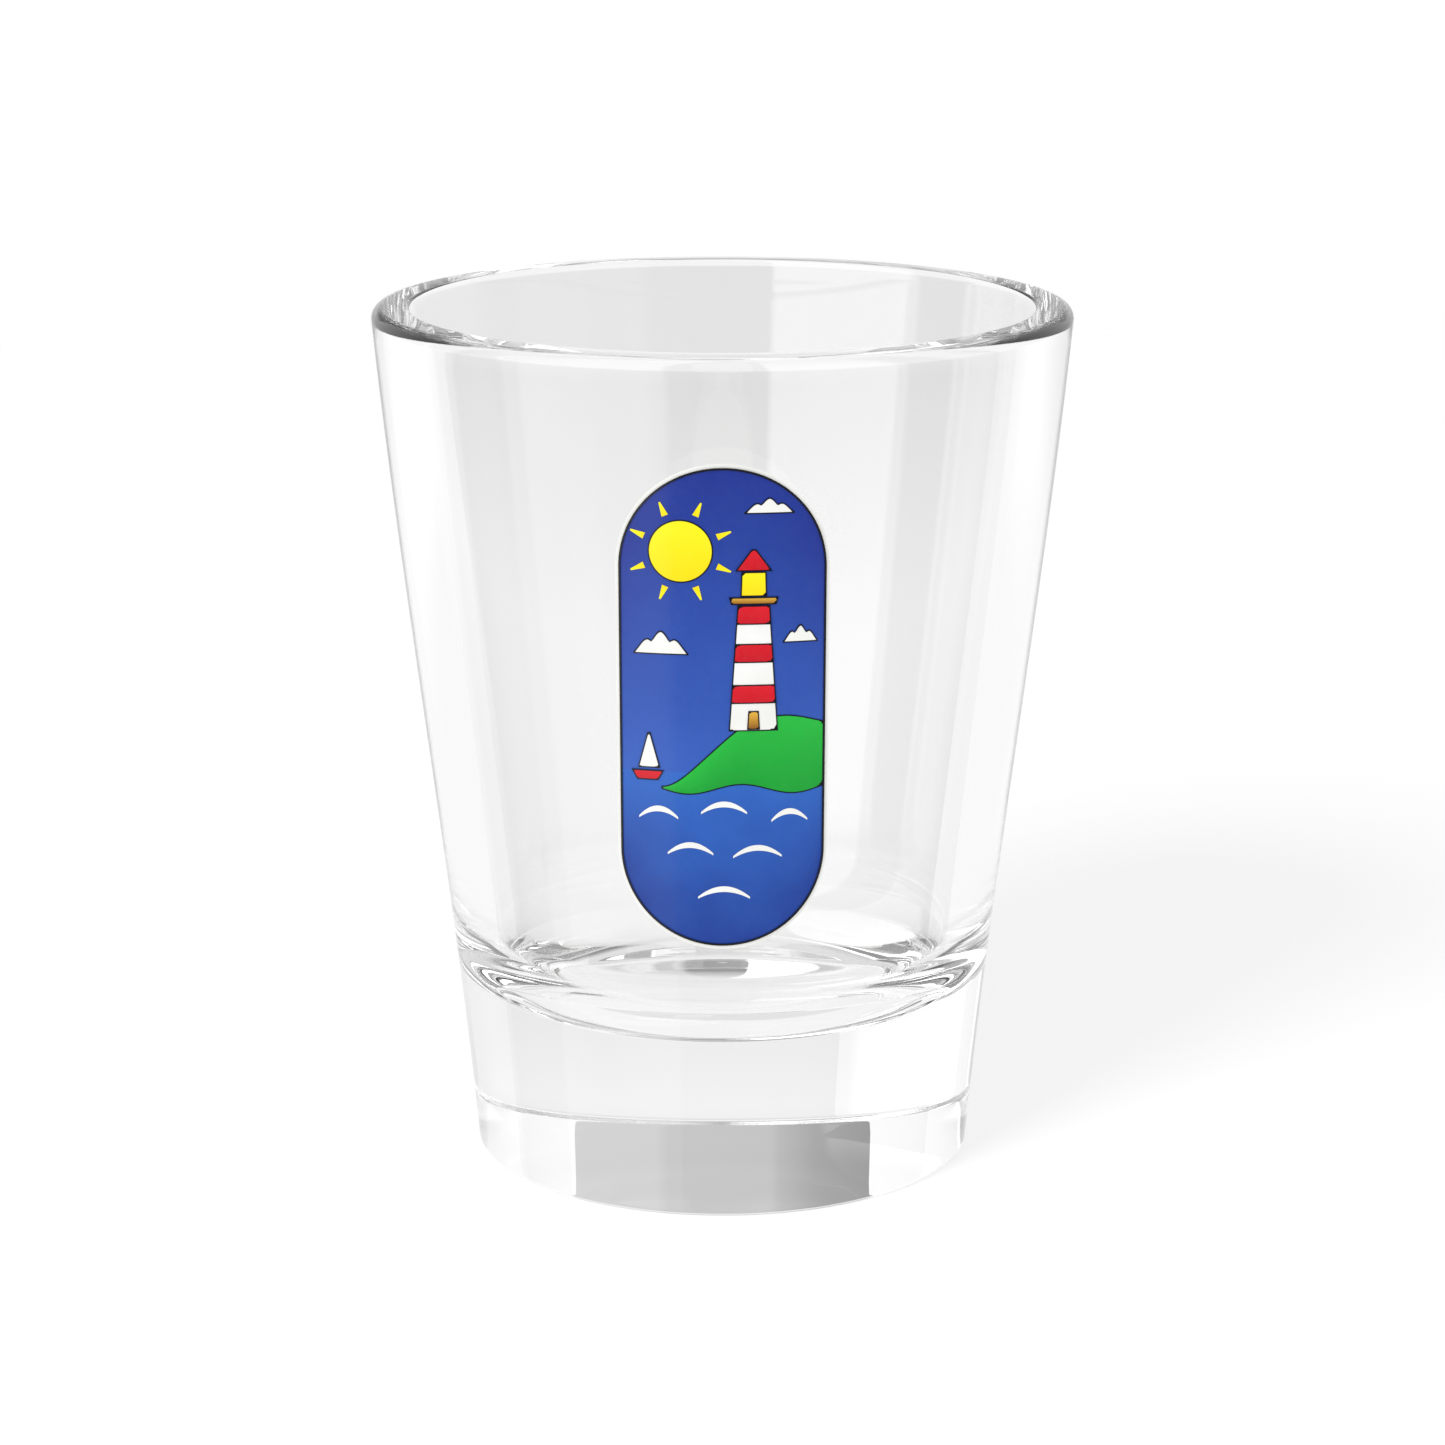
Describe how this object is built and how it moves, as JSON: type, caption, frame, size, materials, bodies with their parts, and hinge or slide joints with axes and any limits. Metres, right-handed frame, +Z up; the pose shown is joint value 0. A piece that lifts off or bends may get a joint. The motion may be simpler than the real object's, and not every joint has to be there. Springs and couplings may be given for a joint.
{
  "type": "shot glass",
  "caption": "Tapered clear shot glass with a thick solid foot and a rounded rim, and a seaside picture in coloured enamel on its front.",
  "frame": {"origin": "middle of the flat foot, on the surface the glass stands on", "axes": "+Z up along the glass's axis, from foot to rim; the picture faces -Y; +X is to the right of someone looking at the picture"},
  "size_m": [0.048, 0.048, 0.06],
  "materials": {
    "clear_glass": "clear, fire-polished, glossy",
    "enamel_white": "gloss, opaque",
    "enamel_blue": "gloss, opaque",
    "enamel_sea_blue": "gloss, opaque",
    "enamel_yellow": "gloss, opaque",
    "enamel_green": "gloss, opaque",
    "enamel_red": "gloss, opaque",
    "enamel_gold": "gloss, opaque",
    "enamel_black": "gloss, opaque"
  },
  "bodies": {
    "root": {"glass_body": "clear_glass", "print_undercoat": "enamel_white", "print_sky": "enamel_blue", "print_sea": "enamel_sea_blue", "print_border": "enamel_black", "print_sun": "enamel_yellow", "print_sun_ray_1": "enamel_yellow", "print_sun_ray_2": "enamel_yellow", "print_sun_ray_3": "enamel_yellow", "print_sun_ray_4": "enamel_yellow", "print_sun_ray_5": "enamel_yellow", "print_sun_ray_6": "enamel_yellow", "print_sun_ray_7": "enamel_yellow", "print_sun_ray_8": "enamel_yellow", "print_cloud_1": "enamel_white", "print_cloud_2": "enamel_white", "print_cloud_3": "enamel_white", "print_headland": "enamel_green", "print_tower": "enamel_white", "print_tower_band_1": "enamel_red", "print_tower_band_2": "enamel_red", "print_tower_band_3": "enamel_red", "print_door": "enamel_gold", "print_gallery": "enamel_gold", "print_lamp_room": "enamel_yellow", "print_roof": "enamel_red", "print_crest_1": "enamel_white", "print_crest_2": "enamel_white", "print_crest_3": "enamel_white", "print_crest_4": "enamel_white", "print_crest_5": "enamel_white", "print_crest_6": "enamel_white", "print_boat_hull": "enamel_red", "print_boat_sail": "enamel_white"}
  },
  "joints": []
}
